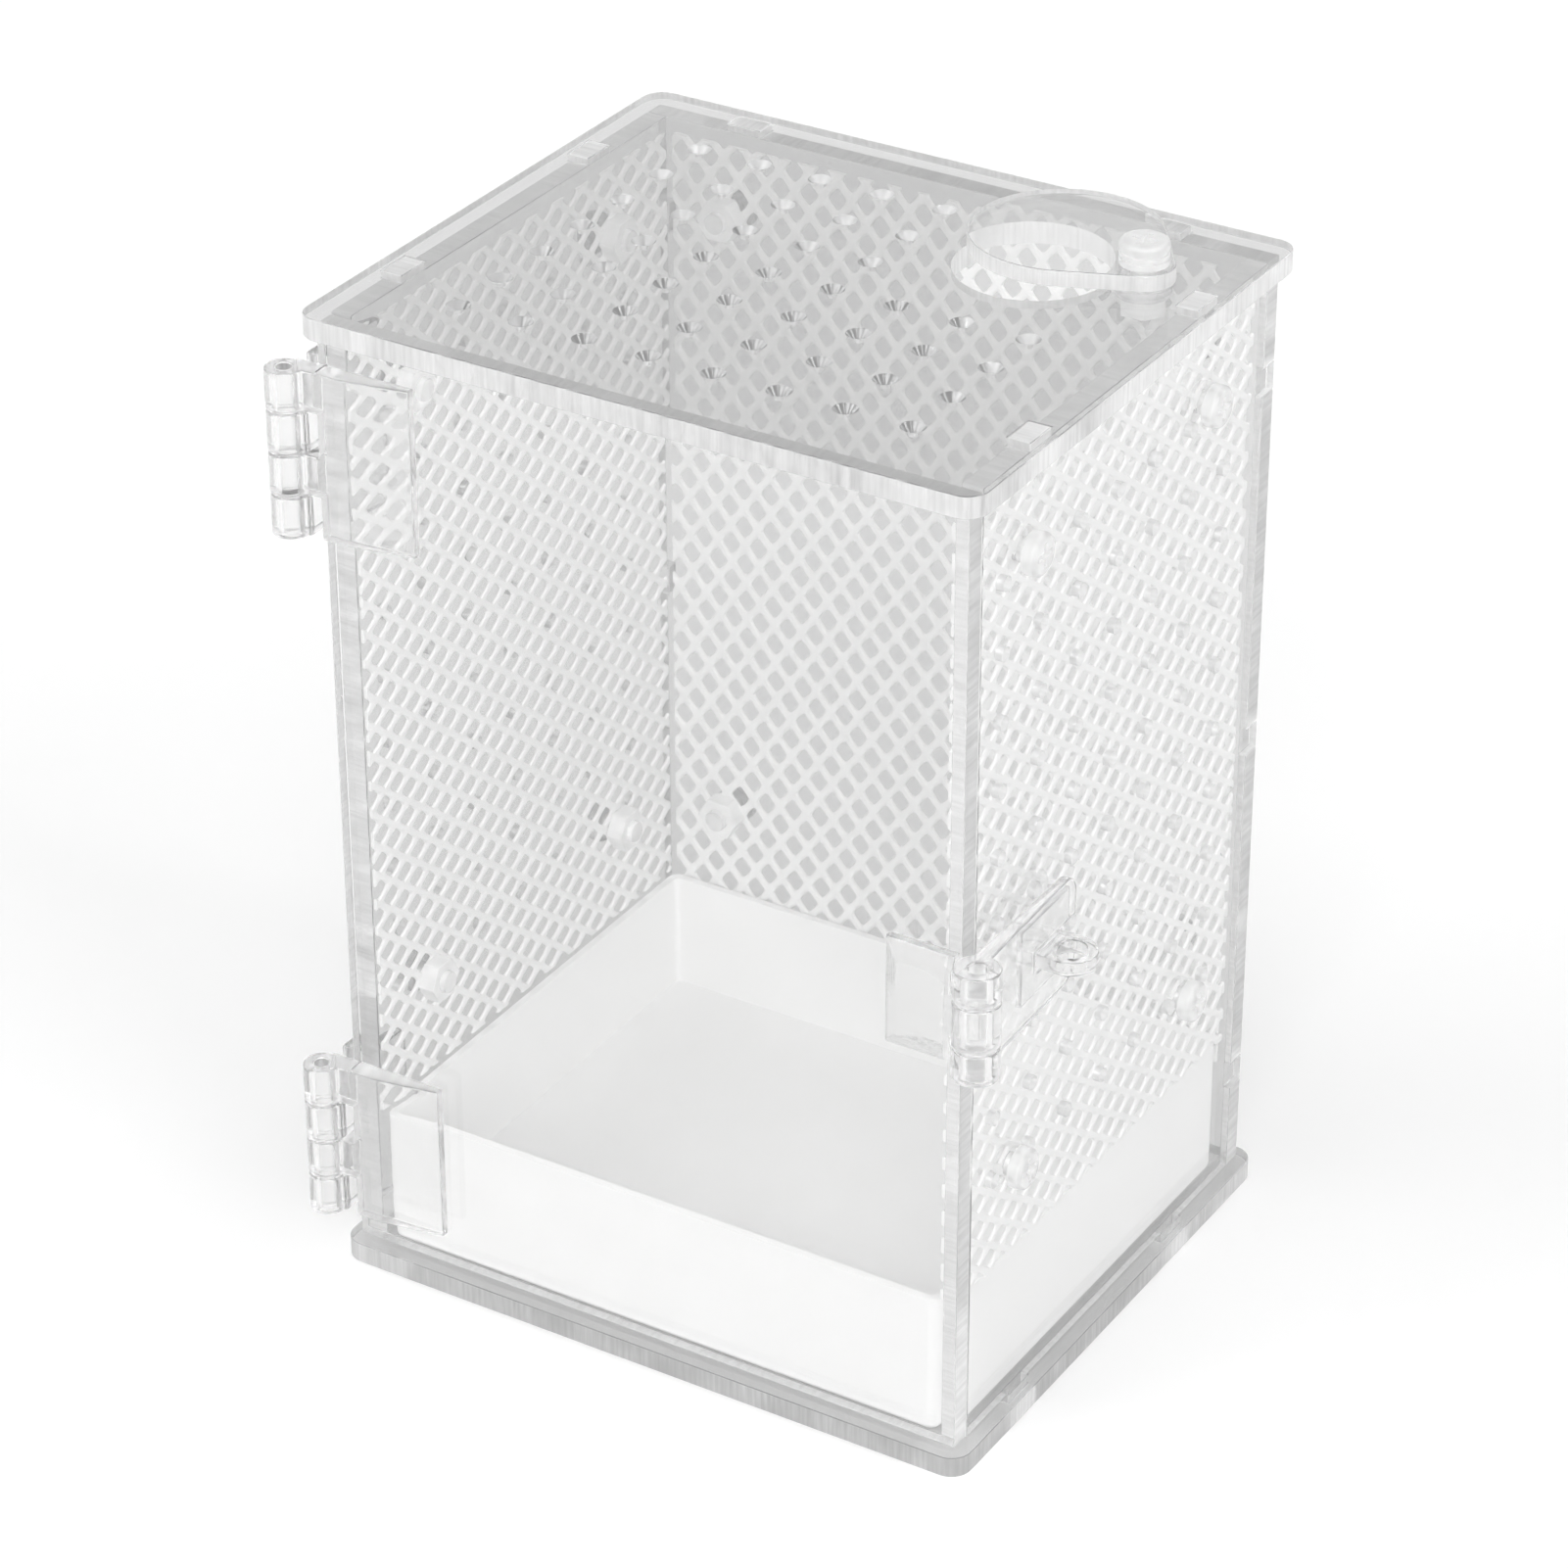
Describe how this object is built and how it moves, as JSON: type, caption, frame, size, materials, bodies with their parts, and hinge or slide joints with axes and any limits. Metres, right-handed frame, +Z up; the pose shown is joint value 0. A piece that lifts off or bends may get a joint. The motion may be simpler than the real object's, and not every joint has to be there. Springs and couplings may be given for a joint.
{
  "type": "insect breeding box",
  "caption": "Clear box for keeping insects: hinged front door with a hasp, vented walls lined with net, swivelling cover over a feeding hole, lift-out white tray",
  "frame": {"origin": "middle of the base plate's underside, on the surface the box stands on", "axes": "+Z up; +X to the side with the hasp; -Y to the front, where the door is"},
  "size_m": [0.1067, 0.0855, 0.1456],
  "materials": {
    "clear_sheet": "polished clear sheet with flame-polished cut edges",
    "clear_moulding": "polished clear moulded plastic",
    "clear_fastener": "clear moulded plastic",
    "white_net": "soft white extruded net",
    "white_tray": "smooth satin white"
  },
  "bodies": {
    "box": {"back_mesh": "white_net", "back_mesh_nuts": "clear_fastener", "back_mesh_screws": "clear_fastener", "back_wall": "clear_sheet", "base_plate": "clear_sheet", "cover_nut": "clear_fastener", "cover_screw": "clear_fastener", "cover_washer": "clear_fastener", "latch_staple": "clear_moulding", "left_mesh": "white_net", "left_mesh_nuts": "clear_fastener", "left_mesh_screws": "clear_fastener", "left_wall": "clear_sheet", "lower_hinge_pin": "clear_moulding", "lower_hinge_wall_leaf": "clear_moulding", "right_mesh": "white_net", "right_mesh_nuts": "clear_fastener", "right_mesh_screws": "clear_fastener", "right_wall": "clear_sheet", "top_plate": "clear_sheet", "upper_hinge_pin": "clear_moulding", "upper_hinge_wall_leaf": "clear_moulding"},
    "door": {"door_panel": "clear_sheet", "upper_hinge_door_leaf": "clear_moulding", "lower_hinge_door_leaf": "clear_moulding", "latch_door_leaf": "clear_moulding", "latch_pin": "clear_moulding"},
    "latch_flap": {"latch_flap": "clear_moulding"},
    "feeding_cover": {"feeding_cover": "clear_sheet"},
    "tray": {"substrate_tray": "white_tray"}
  },
  "joints": [
    {"name": "door_swing", "type": "hinge", "parent": "box", "child": "door", "pos_m": [-0.049, -0.042, 0.07], "axis": [0, 0, -1], "range_deg": [0, 250]},
    {"name": "latch_swing", "type": "hinge", "parent": "door", "child": "latch_flap", "pos_m": [0.0492, -0.041, 0.07], "axis": [0, 0, -1], "range_deg": [0, 240]},
    {"name": "cover_swivel", "type": "hinge", "parent": "box", "child": "feeding_cover", "pos_m": [0.0361, 0.0214, 0.1413], "axis": [0, 0, 1], "continuous": true},
    {"name": "tray_lift", "type": "slide", "parent": "box", "child": "tray", "axis": [0, 0, 1], "range_m": [0, 0.008]}
  ]
}
